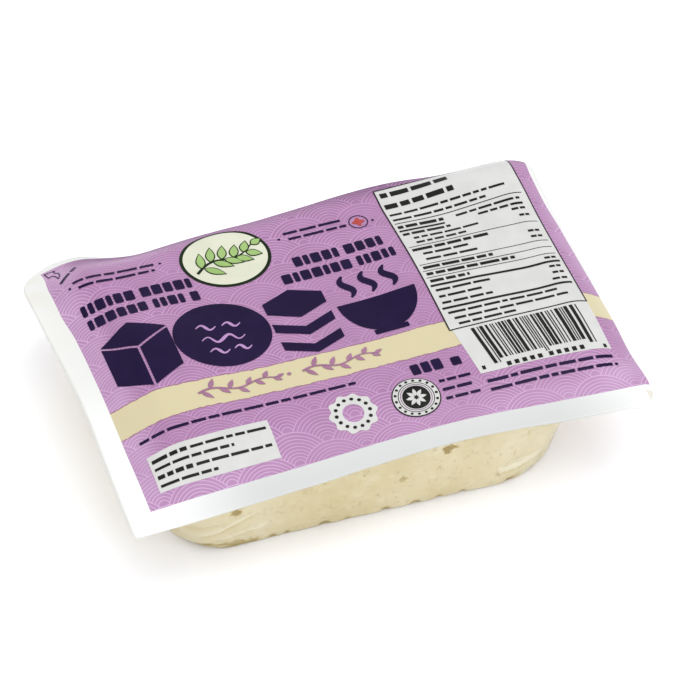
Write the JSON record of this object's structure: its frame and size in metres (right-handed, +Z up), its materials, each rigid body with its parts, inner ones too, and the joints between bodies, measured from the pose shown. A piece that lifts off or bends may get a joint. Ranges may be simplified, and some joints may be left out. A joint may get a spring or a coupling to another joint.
{
  "type": "packed tofu block",
  "caption": "Flat sealed retail pack of firm tofu: a soft block in a formed clear pocket under a printed film lid with a welded rim.",
  "frame": {"origin": "on the ground under the middle of the pack", "axes": "+X along the pack towards the end with the clear filled gap, +Y from the near long side to the far long side, +Z up out of the printed lid"},
  "size_m": [0.1539, 0.112, 0.036],
  "materials": {
    "lid_film": "satin printed film",
    "clear_film": "clear glossy film",
    "tofu": "moist smooth bean curd under clear film"
  },
  "bodies": {
    "root": {"printed_lid": "lid_film", "clear_rim": "clear_film", "tofu_pocket": "tofu"}
  },
  "joints": []
}
